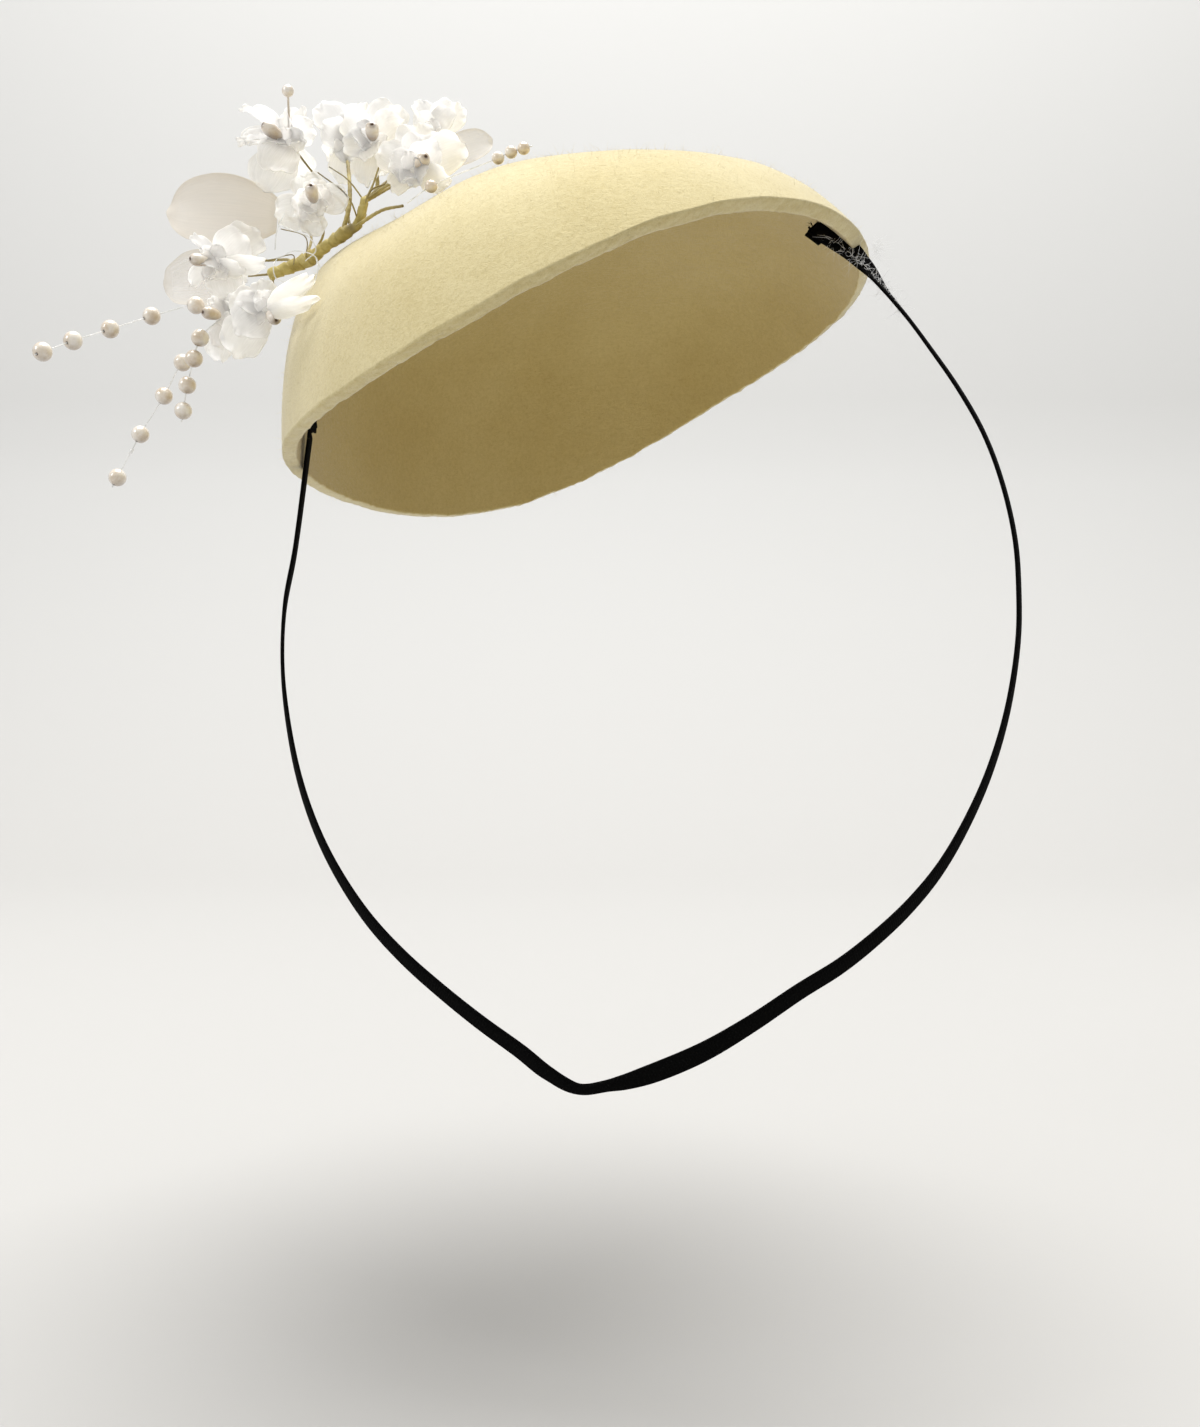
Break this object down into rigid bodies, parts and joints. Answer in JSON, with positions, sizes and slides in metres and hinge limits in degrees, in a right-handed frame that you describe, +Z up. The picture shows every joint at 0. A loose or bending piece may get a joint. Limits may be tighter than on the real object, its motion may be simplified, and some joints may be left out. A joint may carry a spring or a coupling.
{
  "type": "fascinator with a chin elastic",
  "caption": "Tilted blocked-felt cap fascinator with a side spray of fabric blossoms, pearl stamens and pearl strands, held by a flat chin elastic.",
  "frame": {"origin": "the point under the crown where the top of the wearer's head meets the felt", "axes": "+Z up as worn, +X to the right and +Y away for someone who faces the near side; the cap dips to the left and the spray stands on its left near side"},
  "size_m": [0.2043, 0.1545, 0.2118],
  "materials": {
    "felt": "soft fuzzy wool felt, pale buttermilk ivory",
    "elastic": "flat black ribbed braid",
    "satin": "stiffened white silk, soft sheen",
    "organza": "sheer stiffened organza, slightly beige",
    "pearl": "champagne-white pearl lustre",
    "stem_tape": "gold-olive floral tape wound on wire",
    "thread": "clear nylon thread"
  },
  "bodies": {
    "root": {"felt_cap": "felt", "elastic_tab_right": "elastic", "elastic_tab_left": "elastic", "chin_elastic": "elastic", "blossom_upper_left": "satin", "blossom_top": "satin", "blossom_crest": "satin", "blossom_right": "satin", "blossom_high_right": "satin", "blossom_inner": "satin", "blossom_left": "satin", "blossom_low_left": "satin", "blossom_low_right": "satin", "sheer_petal_upper": "organza", "sheer_petal_left": "organza", "sheer_petal_right": "organza", "stamen_upper_left": "pearl", "stamen_crest": "pearl", "stamen_right": "pearl", "stamen_inner": "pearl", "stamen_left": "pearl", "stamen_low_left": "pearl", "stamen_low_right": "pearl", "stamen_tall": "pearl", "spray_stem": "stem_tape", "thread_left": "thread", "pearl_left_1": "pearl", "pearl_left_2": "pearl", "pearl_left_3": "pearl", "pearl_left_4": "pearl", "pearl_left_5": "pearl", "thread_low": "thread", "pearl_low_1": "pearl", "pearl_low_2": "pearl", "pearl_low_3": "pearl", "pearl_low_4": "pearl", "thread_inner": "thread", "pearl_inner_1": "pearl", "pearl_inner_2": "pearl", "pearl_inner_3": "pearl", "pearl_inner_4": "pearl", "thread_crown": "thread", "pearl_crown_1": "pearl", "pearl_crown_2": "pearl", "pearl_crown_3": "pearl", "pearl_crown_4": "pearl"}
  },
  "joints": []
}
